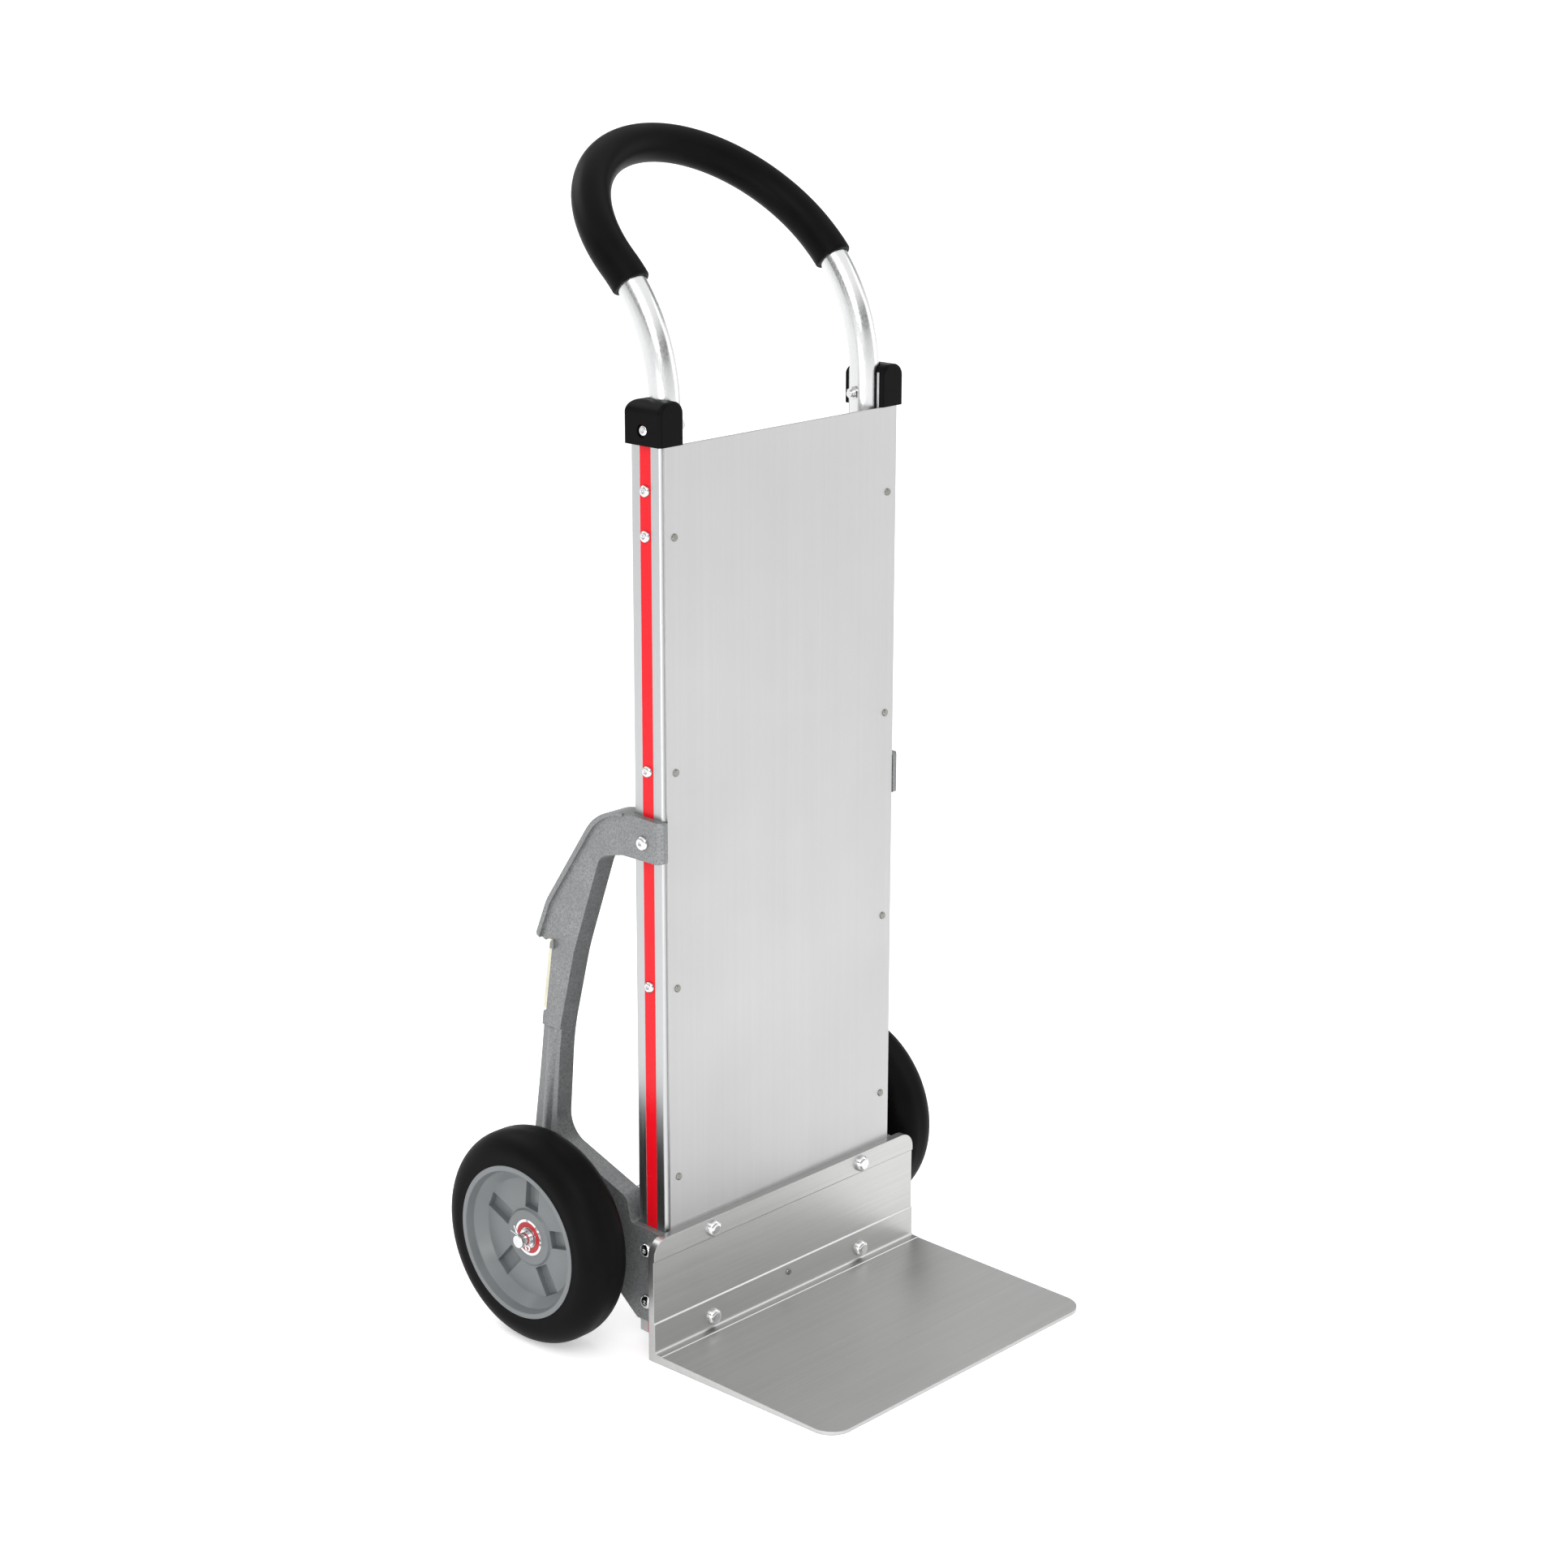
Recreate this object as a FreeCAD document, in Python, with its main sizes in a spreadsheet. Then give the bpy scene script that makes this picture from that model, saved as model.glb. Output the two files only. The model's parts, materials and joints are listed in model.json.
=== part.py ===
import FreeCAD, Part
import math
import os
import Sketcher
from FreeCAD import Placement, Rotation, Vector

# Two-wheeled hand truck: riveted aluminium frame, bolted nose plate, cast axle
# brackets, loop handle and two ball-bearing wheels.
# +X is the right-hand side seen from the front, +Y points to the back, +Z is up.
# Every size below is in millimetres or degrees. Depths (Y) are counted from the
# front face of the back panel, heights (Z) from the floor.

SIZES = {
    # frame
    "frameWidth": 388, "panelInset": 4, "panelThick": 3, "panelTop": 1060,
    "railDepth": 46, "railFlange": 32, "railWall": 3.2, "railWeb": 5,
    "railBottom": 12, "railRise": 40, "railRound": 4,
    "stripWidth": 16.5, "stripThick": 1.6, "fitGap": 0.1,
    # crossbars, measured as heights of their centre lines
    "topBarDrop": 100, "middleBarLevel": 695, "lowerBarLevel": 442,
    "barHeight": 36, "barDepth": 30, "barWall": 2.5, "screwBoss": 8,
    # base crossmember behind the nose plate
    "baseRise": 4, "baseWall": 4, "baseEnd": 4,
    # rivets
    "rivetInset": 18, "rivetShank": 2.4, "rivetHead": 4.4, "rivetDome": 1.8,
    "lowRivetLevel": 213,
    # nose plate
    "noseWidth": 454, "noseReach": 285, "noseHeight": 150, "legThick": 10,
    "legRelief": 1.5, "upperBand": 24.6, "lowerBand": 47, "toeRoot": 11,
    "toeTip": 4, "toeLedge": 0.8, "ledgeSetback": 8, "toeCorner": 28, "legCorner": 20,
    "noseFillet": 3.5, "noseBoltSpread": 130, "noseBoltDrop": 13,
    "eyeletLevel": 37, "eyeletRadius": 2.75,
    # handle
    "legInset": 31, "tubeRadius": 17, "tubeWall": 2.5, "handleFootRise": 25,
    "bendRise": 32, "bendRadius": 204, "bendAngle": 48, "neckLength": 5,
    "gripThick": 5, "gripSetback": 7.4,
    "handleBoltDrop": 50, "handleBoltRise": 16,
    # rail caps
    "capWall": 5, "capHeight": 48, "capRound": 14, "capSoft": 4,
    "recessRadius": 7.5, "capGap": 0.5,
    # wheels and axle
    "wheelRadius": 129, "tyreWidth": 66, "tyreShoulder": 27, "tyreSeat": 88,
    "rimLip": 92, "lipWidth": 3, "rimWall": 5, "discThick": 8,
    "hubBoss": 33, "hubOutboard": 14.5, "hubInboard": 42.5, "dishDepth": 12,
    "lipProud": 0.5, "rimDraft": 3, "bossDraft": 2,
    "channelWidth": 21, "channelDepth": 8, "channelCount": 5, "channelTurn": 24,
    "axleBack": 140, "axleRadius": 7.94, "axleFit": 0.05, "axleProud": 17,
    "bearingWidth": 12, "bearingOuter": 22, "outerRaceWall": 3.2,
    "innerRaceOuter": 12.4, "ballRadius": 2.7, "ballCount": 14,
    "sealThick": 1, "sealGap": 0.3, "hubCore": 15,
    # axle spacers, washers and cotter pins
    "spacerLength": 20, "spacerRadius": 12, "washerRadius": 11.5,
    "washerThick": 2, "sideGap": 0.4, "pinWire": 1.6, "pinSetback": 7,
    "pinTilt": 35,
    # axle brackets
    "bracketThick": 9, "bracketWide": 26, "bracketSkin": 7, "bracketWall": 5,
    "lugLevel": 617, "lugHeight": 48, "axleBossRadius": 22, "axleBossProud": 3,
    "rimProud": 4, "rimWidth": 5, "padRelief": 3, "padRadius": 11, "padDrop": 20,
    "wearThick": 5, "wearGap": 1.5, "lugWrap": 4, "lugLip": 3, "lugBevel": 6, "footEdge": 25,
    "rimLength": 185, "rimStart": 6, "hookDrop": 168, "hookReach": 125,
    "ledgeDrop": 96, "ledgeReach": 139.5, "reliefAhead": 5, "reliefRise": 20,
    "lugBoltLevel": 614, "lowBoltLevel": 57, "midBoltDrop": 28,
    # fasteners
    "boltRadius": 4, "boltHead": 6.8, "boltHeadHigh": 4.4, "socketFlats": 5,
    "noseBoltHead": 10, "noseBoltHeadHigh": 7, "bracketBoltHead": 8.5,
    "bracketBoltHeadHigh": 5, "nutFlats": 13,
    "nutHigh": 8, "holeGap": 0.25,
}

doc = FreeCAD.newDocument("HandTruck")
sheet = doc.addObject("Spreadsheet::Sheet", "Sizes")
for row, (alias, amount) in enumerate(SIZES.items(), start=1):
    sheet.set("A%d" % row, alias)
    sheet.set("B%d" % row, str(amount))
    sheet.setAlias("B%d" % row, alias)
doc.recompute()

# Places that several pieces share, as formulas of the sheet ($name is a cell).
RAIL_X = "$frameWidth/2"
PANEL_HALF = "$frameWidth/2 - $panelInset"
RAIL_FRONT = "$panelThick"
RAIL_MID = "($panelThick + $railDepth/2)"
RAIL_BACK = "($panelThick + $railDepth)"
RAIL_TOP = "($panelTop + $railRise)"
RAIL_INNER = "($frameWidth/2 - $railFlange)"
WEB_INNER = "($frameWidth/2 - $railWeb)"
STRIP_FLOOR = "($frameWidth/2 - $stripThick)"
TOP_BAR = "($panelTop - $topBarDrop)"
BAR_LEVELS = [TOP_BAR, "$middleBarLevel", "$lowerBarLevel"]
RIVET_LEVELS = BAR_LEVELS + ["$lowRivetLevel"]
RIVET_X = "($frameWidth/2 - $rivetInset)"
HANDLE_X = "($frameWidth/2 - $legInset)"
HANDLE_BOLTS = ["($panelTop - $handleBoltDrop)", "($panelTop + $handleBoltRise)"]
BASE_LOW = "($railBottom - $baseWall)"
BASE_HIGH = "($noseHeight + $baseRise)"
BRACKET_X = "($frameWidth/2 + $bracketThick)"
MID_BOLT = "(%s - $baseWall - $midBoltDrop)" % BASE_HIGH
BRACKET_BOLTS = ["$lowBoltLevel", MID_BOLT, "$lugBoltLevel"]
BOSS_X = "(%s + $axleBossProud)" % BRACKET_X
HUB_END_X = "(%s + $spacerLength + $sideGap)" % BOSS_X
WHEEL_X = "(%s + $hubInboard)" % HUB_END_X
HUB_FACE_X = "(%s + $hubOutboard)" % WHEEL_X
AXLE_END_X = "(%s + $axleProud)" % HUB_FACE_X
SHIFT = "($noseReach - $axleBack - $wheelRadius)/2"
NOSE_LOW = "($toeRoot + $noseFillet + $noseBoltHead + $holeGap)"
NOSE_HIGH = "($noseHeight - $noseBoltDrop)"
NOSE_BOLTS = [(x, z) for x in ("-$noseBoltSpread", "$noseBoltSpread")
              for z in (NOSE_LOW, NOSE_HIGH)]


def bound(text):
    return str(text).replace("$", "Sizes.")


def number(text):
    return float(sheet.evalExpression(bound(text)))


# ---------------------------------------------------------------- helpers

parts = []


def keep(piece, label):
    """Name a finished sub-part and seat it in the object's frame."""
    piece.Label = label
    parts.append(piece)
    return piece


def seat(piece, x="0", y="0", z="0"):
    """Bind a placement to the sheet, with Y counted from the panel front."""
    piece.setExpression("Placement.Base.x", bound(x))
    piece.setExpression("Placement.Base.y", bound("%s + %s" % (SHIFT, y)))
    piece.setExpression("Placement.Base.z", bound(z))


def new_body(label, x="0", y="0", z="0"):
    body = doc.addObject("PartDesign::Body", label)
    body.AllowCompound = True
    seat(body, x, y, z)
    return keep(body, label)


def new_sketch(body, plane, start="0"):
    sketch = body.newObject("Sketcher::SketchObject", "Sketch")
    datum = [f for f in body.Origin.OriginFeatures if f.Role == plane][0]
    sketch.AttachmentSupport = [(datum, "")]
    sketch.MapMode = "FlatFace"
    sketch.setExpression("AttachmentOffset.Base.z", bound(start))
    return sketch


def fix_point(sketch, curve, point, x, y):
    for kind, text in (("DistanceX", x), ("DistanceY", y)):
        place = sketch.addConstraint(
            Sketcher.Constraint(kind, -1, 1, curve, point, number(text)))
        sketch.setExpression("Constraints[%d]" % place, bound(text))


def add_polygon(sketch, corners):
    """Closed outline; every corner is a pair of formulas."""
    first = sketch.GeometryCount
    count = len(corners)
    spots = [Vector(number(x), number(y), 0) for x, y in corners]
    for i in range(count):
        sketch.addGeometry(Part.LineSegment(spots[i], spots[(i + 1) % count]))
    for i in range(count):
        sketch.addConstraint(Sketcher.Constraint(
            "Coincident", first + i, 2, first + (i + 1) % count, 1))
    for i, (x, y) in enumerate(corners):
        fix_point(sketch, first + i, 1, x, y)


def add_circle(sketch, x, y, radius):
    circle = Part.Circle(Vector(number(x), number(y), 0), Vector(0, 0, 1), number(radius))
    curve = sketch.addGeometry(circle)
    fix_point(sketch, curve, 3, x, y)
    size = sketch.addConstraint(Sketcher.Constraint("Radius", curve, number(radius)))
    sketch.setExpression("Constraints[%d]" % size, bound(radius))


def extrude(body, sketch, length, cut=False):
    """Pad or pocket along the sketch normal."""
    kind = "PartDesign::Pocket" if cut else "PartDesign::Pad"
    before = body.Tip.Shape.Volume if cut else 0
    feature = body.newObject(kind, kind.split("::")[1])
    feature.Profile = sketch
    feature.setExpression("Length", bound(length))
    if cut:
        feature.Reversed = True
    body.Tip = feature
    doc.recompute()
    if cut and near(feature.Shape.Volume, before):
        raise RuntimeError("a cut removed nothing from " + body.Label)
    return feature


def prism(body, plane, corners, start, length, cut=False):
    sketch = new_sketch(body, plane, start)
    add_polygon(sketch, corners)
    return extrude(body, sketch, length, cut)


def box(body, x, y, z, cut=False):
    """Block between two X, two Y and two Z formulas."""
    corners = [(x[0], y[0]), (x[1], y[0]), (x[1], y[1]), (x[0], y[1])]
    return prism(body, "XY_Plane", corners, z[0], "%s - (%s)" % (z[1], z[0]), cut)


def discs(body, plane, spots, radius, start, length, cut=False):
    """Round pins, or holes when cut, at pairs of formulas on one plane."""
    sketch = new_sketch(body, plane, start)
    for x, y in spots:
        add_circle(sketch, x, y, radius)
    return extrude(body, sketch, length, cut)


def revolve(body, corners, axis="V_Axis"):
    """Full turn of an outline in the XZ plane about Z (V_Axis) or X (H_Axis)."""
    sketch = new_sketch(body, "XZ_Plane")
    add_polygon(sketch, corners)
    turned = body.newObject("PartDesign::Revolution", "Revolution")
    turned.Profile = sketch
    turned.ReferenceAxis = (sketch, [axis])
    turned.Angle = 360
    body.Tip = turned
    doc.recompute()


def round_edges(body, radius, test):
    """Fillet the edges whose centre and bounding box pass the test."""
    base = body.Tip
    names = ["Edge%d" % (i + 1) for i, edge in enumerate(base.Shape.Edges) if test(edge)]
    if not names:
        raise RuntimeError("no edge to round on " + body.Label)
    fillet = body.newObject("PartDesign::Fillet", "Fillet")
    fillet.Base = (base, names)
    fillet.setExpression("Radius", bound(radius))
    body.Tip = fillet
    doc.recompute()


def near(a, b, gap=0.05):
    return abs(a - b) < gap


def centre(edge):
    return edge.BoundBox.Center


def along(edge, axis):
    """True for a straight edge parallel to X, Y or Z."""
    spread = [edge.BoundBox.XLength, edge.BoundBox.YLength, edge.BoundBox.ZLength]
    index = "XYZ".index(axis)
    rest = sum(spread) - spread[index]
    return rest < 1e-3 < spread[index]


def mirrored(source, label):
    """The same piece on the other side of the truck."""
    twin = doc.addObject("Part::Mirroring", label)
    twin.Source = source
    twin.Normal = Vector(1, 0, 0)
    return keep(twin, label)


FACE_LEFT = Rotation(Vector(0, 1, 0), -90)
FACE_RIGHT = Rotation(Vector(0, 1, 0), 90)
FACE_FRONT = Rotation(Vector(1, 0, 0), 90)
FACE_BACK = Rotation(Vector(1, 0, 0), -90)


def group(label, master, places):
    """Identical separate solids: one link to the master for every place."""
    links = []
    for x, y, z, turn in places:
        link = doc.addObject("App::Link", "Copy")
        link.LinkedObject = master
        link.Placement = Placement(Vector(0, 0, 0), turn)
        seat(link, x, y, z)
        links.append(link)
    compound = doc.addObject("Part::Compound", label)
    compound.Links = links
    return keep(compound, label)


def master_body(label):
    body = doc.addObject("PartDesign::Body", label)
    body.Label = label
    return body


def bolt_master(label, length, head, head_high, socket=False):
    """Domed bolt along Z: seat of the head at z = 0, shank pointing down."""
    body = master_body(label)
    outline = [("0", "-(%s)" % length), ("$boltRadius", "-(%s)" % length), ("$boltRadius", "0"),
               (head, "0"), (head, head_high), ("0", head_high)]
    revolve(body, outline)
    top = number(head_high)
    round_edges(body, "%s * 0.8" % head_high, lambda e: near(centre(e).z, top) and
                e.BoundBox.XLength > 1.9 * number(head))
    if socket:
        depth = "%s * 0.55" % head_high
        prism(body, "XY_Plane", hexagon("$socketFlats"), "%s - %s" % (head_high, depth),
              depth, cut=True)
    return body


def hexagon(flats):
    corner_reach = "%s / sqrt(3)" % flats
    return [turned(corner_reach, "0", 60 * k) for k in range(6)]


def nut_master(label):
    """Hexagon lock nut along Z: bearing face at z = 0, collar on top."""
    body = master_body(label)
    prism(body, "XY_Plane", hexagon("$nutFlats"), "0", "$nutHigh * 0.75")
    discs(body, "XY_Plane", [("0", "0")], "$nutFlats * 0.42", "0", "$nutHigh")
    discs(body, "XY_Plane", [("0", "0")], "$boltRadius + $fitGap", "-1", "$nutHigh + 2", cut=True)
    return body


def turned(ahead, aside, degrees):
    """The point (ahead, aside) turned about the origin, as a pair of formulas."""
    c = math.cos(math.radians(degrees))
    s = math.sin(math.radians(degrees))
    return ("(%s) * %.6f - (%s) * %.6f" % (ahead, c, aside, s),
            "(%s) * %.6f + (%s) * %.6f" % (ahead, s, aside, c))


def shaped(label, shape):
    """Sub-part whose shape is worked out directly from the sheet."""
    piece = doc.addObject("Part::Feature", label)
    piece.Shape = shape
    piece.Placement = Placement(Vector(0, number(SHIFT), 0), Rotation()) * shape.Placement
    keep(piece, label)


def rod(radius, start, end):
    return Part.makeCylinder(radius, (end - start).Length, start, end - start)


def rounded_outline(corners):
    """Closed wire in the YZ plane; each corner is (y, z, radius)."""
    edges = []
    ends = []
    count = len(corners)
    spots = [Vector(0, y, z) for y, z, radius in corners]
    for i, (y, z, radius) in enumerate(corners):
        here = spots[i]
        back = (spots[i - 1] - here).normalize()
        ahead = (spots[(i + 1) % count] - here).normalize()
        half = back.getAngle(ahead) / 2
        inward = (back + ahead).normalize()
        start = here + back * (radius / math.tan(half))
        end = here + ahead * (radius / math.tan(half))
        middle = here + inward * (radius / math.sin(half) - radius)
        ends.append((start, end))
        edges.append(Part.Arc(start, middle, end).toShape())
        if i:
            edges.append(Part.LineSegment(ends[i - 1][1], start).toShape())
    edges.append(Part.LineSegment(ends[-1][1], ends[0][0]).toShape())
    return Part.Wire(Part.__sortEdges__(edges))


# ---------------------------------------------------------------- rails, strips, panel

def build_rail():
    body = new_body("left_rail")
    lip = "($panelThick + $railWall)"
    back_lip = "(%s - $railWall)" % RAIL_BACK
    groove = "($stripWidth/2 + $fitGap)"
    profile = [
        ("-(%s)" % RAIL_X, RAIL_FRONT), ("-" + RAIL_INNER, RAIL_FRONT),
        ("-" + RAIL_INNER, lip), ("-" + WEB_INNER, lip),
        ("-" + WEB_INNER, back_lip), ("-" + RAIL_INNER, back_lip),
        ("-" + RAIL_INNER, RAIL_BACK), ("-(%s)" % RAIL_X, RAIL_BACK),
        ("-(%s)" % RAIL_X, "%s + %s" % (RAIL_MID, groove)),
        ("-" + STRIP_FLOOR, "%s + %s" % (RAIL_MID, groove)),
        ("-" + STRIP_FLOOR, "%s - %s" % (RAIL_MID, groove)),
        ("-(%s)" % RAIL_X, "%s - %s" % (RAIL_MID, groove)),
    ]
    prism(body, "XY_Plane", profile, "$railBottom", "%s - $railBottom" % RAIL_TOP)
    outer = number(RAIL_X)
    corners = (number(RAIL_FRONT), number(RAIL_BACK))
    round_edges(body, "$railRound", lambda e: along(e, "Z") and near(-centre(e).x, outer)
                and any(near(centre(e).y, y) for y in corners))
    levels = BAR_LEVELS + HANDLE_BOLTS + BRACKET_BOLTS
    discs(body, "YZ_Plane", [(RAIL_MID, z) for z in levels], "$boltRadius + $holeGap",
          "-(%s) - 1" % RAIL_X, "$railWeb + 2", cut=True)
    discs(body, "XZ_Plane", [("-" + RIVET_X, z) for z in RIVET_LEVELS], "$rivetShank",
          "-(%s + 1)" % lip, "$railWall + 2", cut=True)


def build_strip():
    body = new_body("left_trim_strip")
    box(body, ("-(%s)" % RAIL_X, "-" + STRIP_FLOOR),
        ("%s - $stripWidth/2" % RAIL_MID, "%s + $stripWidth/2" % RAIL_MID),
        ("$railBottom", RAIL_TOP))
    levels = BAR_LEVELS + HANDLE_BOLTS + BRACKET_BOLTS
    discs(body, "YZ_Plane", [(RAIL_MID, z) for z in levels], "$boltRadius + $holeGap",
          "-(%s) - 1" % RAIL_X, "$stripThick + 2", cut=True)


def build_panel():
    body = new_body("back_panel")
    box(body, ("-(%s)" % PANEL_HALF, PANEL_HALF), ("0", "$panelThick"),
        ("$railBottom", "$panelTop"))
    spots = [(side + RIVET_X, z) for side in ("-", "") for z in RIVET_LEVELS]
    discs(body, "XZ_Plane", spots, "$rivetShank", "-($panelThick + 1)", "$panelThick + 2",
          cut=True)
    discs(body, "XZ_Plane", NOSE_BOLTS, "$boltRadius + $holeGap", "-($panelThick + 1)",
          "$panelThick + 2", cut=True)
    discs(body, "XZ_Plane", [("0", "$eyeletLevel")], "$eyeletRadius + $fitGap",
          "-($panelThick + 1)", "$panelThick + 2", cut=True)


def rivet_master(label, grip, shank, head, dome):
    """Domed rivet along Z: head above z = 0, closed tail below the grip."""
    body = master_body(label)
    tail = "-(%s)" % grip
    outline = [("0", tail + " - %s" % dome), ("%s * 0.75" % head, tail + " - %s" % dome),
               ("%s * 0.75" % head, tail), (shank, tail), (shank, "0"), (head, "0"),
               (head, dome), ("0", dome)]
    revolve(body, outline)
    top = number(dome)
    round_edges(body, "%s * 0.85" % dome, lambda e: near(centre(e).z, top) and
                e.BoundBox.XLength > 1.9 * number(head))
    return body


def build_rivets():
    master = rivet_master("PanelRivet", "$panelThick + $railWall", "$rivetShank",
                          "$rivetHead", "$rivetDome")
    group("panel_rivets", master, [(side + RIVET_X, "0", z, FACE_FRONT)
                                   for side in ("-", "") for z in RIVET_LEVELS])


# ---------------------------------------------------------------- crossmembers

def build_crossbar(label, level):
    body = new_body(label)
    half = "(%s)" % WEB_INNER
    length = "2 * %s" % half

    def rectangle(deep, high):
        return [("%s - (%s)/2" % (RAIL_MID, deep), "%s - (%s)/2" % (level, high)),
                ("%s + (%s)/2" % (RAIL_MID, deep), "%s - (%s)/2" % (level, high)),
                ("%s + (%s)/2" % (RAIL_MID, deep), "%s + (%s)/2" % (level, high)),
                ("%s - (%s)/2" % (RAIL_MID, deep), "%s + (%s)/2" % (level, high))]

    prism(body, "YZ_Plane", rectangle("$barDepth", "$barHeight"), "-" + half, length)
    prism(body, "YZ_Plane", rectangle("$barDepth - 2 * $barWall", "$barHeight - 2 * $barWall"),
          "-%s - 1" % half, length + " + 2", cut=True)
    prism(body, "YZ_Plane", rectangle("$barWall", "$barHeight - $barWall"), "-" + half, length)
    discs(body, "YZ_Plane", [(RAIL_MID, level)], "$screwBoss", "-" + half, length)
    discs(body, "YZ_Plane", [(RAIL_MID, level)], "$boltRadius", "-%s - 1" % half,
          length + " + 2", cut=True)
    round_edges(body, "2", lambda e: along(e, "X")
                and near(abs(centre(e).y - number(RAIL_MID)), number("$barDepth/2"))
                and near(abs(centre(e).z - number(level)), number("$barHeight/2")))


def build_base():
    """Box-like crossmember: web behind the panel, two flanges and two end plates."""
    body = new_body("base_crossmember")
    web_half = "(%s - $holeGap)" % RAIL_INNER
    end_half = "(%s - $fitGap)" % WEB_INNER
    web_back = "%s + $railWall + $baseWall" % RAIL_FRONT
    inside = ("%s + $railWall + $fitGap" % RAIL_FRONT, "%s - $railWall - $fitGap" % RAIL_BACK)
    box(body, ("-" + web_half, web_half), (RAIL_FRONT, web_back), (BASE_LOW, BASE_HIGH))
    for z in ((BASE_LOW, BASE_LOW + " + $baseWall"), (BASE_HIGH + " - $baseWall", BASE_HIGH)):
        box(body, ("-" + end_half, end_half), inside, z)
    for x in (("-" + end_half, "-%s + $baseEnd" % end_half), (end_half + " - $baseEnd", end_half)):
        box(body, x, inside, (BASE_LOW, BASE_HIGH))
    drill = ("-(%s + 1)" % web_back, "$railWall + $baseWall + 2")
    discs(body, "XZ_Plane", NOSE_BOLTS, "$boltRadius + $holeGap", *drill, cut=True)
    discs(body, "XZ_Plane", [("0", "$eyeletLevel")], "$eyeletRadius + $fitGap", *drill, cut=True)
    discs(body, "YZ_Plane", [(RAIL_MID, z) for z in BRACKET_BOLTS[:2]], "$boltRadius + $holeGap",
          "-(%s) - 1" % end_half, "2 * %s + 2" % end_half, cut=True)


# ---------------------------------------------------------------- nose plate

def build_nose():
    body = new_body("nose_plate")
    half = "($noseWidth/2)"
    ledge = "($legThick + $noseFillet + $ledgeSetback)"
    profile = [
        ("0", "0"), ("-$noseReach", "0"), ("-$noseReach", "$toeTip"),
        ("-" + ledge, "$toeRoot - $toeLedge"), ("-%s + $toeLedge" % ledge, "$toeRoot"),
        ("-$legThick", "$toeRoot"), ("-$legThick", "$lowerBand"),
        ("-($legThick - $legRelief)", "$lowerBand + $legRelief"),
        ("-($legThick - $legRelief)", "$noseHeight - $upperBand - $legRelief"),
        ("-$legThick", "$noseHeight - $upperBand"), ("-$legThick", "$noseHeight"),
        ("0", "$noseHeight"),
    ]
    prism(body, "YZ_Plane", profile, "-" + half, "$noseWidth")
    edge_x = number(half)
    front = -number("$noseReach")
    top = number("$noseHeight")
    inner_y = -number("$legThick")
    inner_z = number("$toeRoot")
    round_edges(body, "$noseFillet", lambda e: along(e, "X") and near(centre(e).y, inner_y)
                and near(centre(e).z, inner_z))
    round_edges(body, "$toeCorner", lambda e: along(e, "Z") and near(abs(centre(e).x), edge_x)
                and near(centre(e).y, front))
    round_edges(body, "$legCorner", lambda e: along(e, "Y") and near(abs(centre(e).x), edge_x)
                and near(centre(e).z, top))
    discs(body, "XZ_Plane", NOSE_BOLTS, "$boltRadius + $holeGap", "-1", "$legThick + 2", cut=True)
    discs(body, "XZ_Plane", [("0", "$eyeletLevel")], "$eyeletRadius + $fitGap", "-1",
          "$legThick + 2", cut=True)


def build_nose_fasteners():
    grip = "$legThick + $panelThick + $railWall + $baseWall"
    bolt = bolt_master("NoseBolt", grip + " + $nutHigh + 2", "$noseBoltHead",
                       "$noseBoltHeadHigh")
    group("nose_bolts", bolt, [(x, "-$legThick", z, FACE_FRONT) for x, z in NOSE_BOLTS])
    back = "$panelThick + $railWall + $baseWall"
    group("nose_nuts", nut, [(x, back, z, FACE_BACK) for x, z in NOSE_BOLTS])
    pin = rivet_master("NosePin", grip, "$eyeletRadius", "$eyeletRadius * 1.5", "$rivetDome")
    group("nose_rivet", pin, [("0", "-$legThick", "$eyeletLevel", FACE_FRONT)])


# ---------------------------------------------------------------- handle

def handle_path(skip):
    """Centre line of the loop handle; skip > 0 leaves out that many degrees
    of each back bend together with the legs, which is where the grip starts."""
    reach = number(HANDLE_X)
    middle = number(RAIL_MID)
    bend_z = number("$panelTop + $bendRise")
    radius = number("$bendRadius")
    lean = math.radians(number("$bendAngle"))
    first = math.radians(skip)

    def on_bend(side, angle):
        return Vector(side * reach, middle + radius * (1 - math.cos(angle)),
                      bend_z + radius * math.sin(angle))

    up = Vector(0, math.sin(lean), math.cos(lean))
    neck = up * number("$neckLength")
    edges = []
    for side in (-1, 1):
        if not skip:
            foot = Vector(side * reach, middle, number("%s + $handleFootRise" % TOP_BAR))
            edges.append(Part.LineSegment(foot, on_bend(side, 0)).toShape())
        start = on_bend(side, first)
        halfway = on_bend(side, (first + lean) / 2)
        edges.append(Part.Arc(start, halfway, on_bend(side, lean)).toShape())
        edges.append(Part.LineSegment(on_bend(side, lean), on_bend(side, lean) + neck).toShape())
    left = on_bend(-1, lean) + neck
    right = on_bend(1, lean) + neck
    crown = (left + right) * 0.5 + up * reach
    edges.append(Part.Arc(left, crown, right).toShape())
    return Part.Wire(Part.__sortEdges__(edges))


def swept(path, radius):
    start = path.OrderedVertexes[0].Point
    direction = path.OrderedEdges[0].tangentAt(path.OrderedEdges[0].FirstParameter)
    ring = Part.Wire(Part.Circle(start, direction, radius).toShape())
    return path.makePipeShell([ring], True, False)


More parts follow.
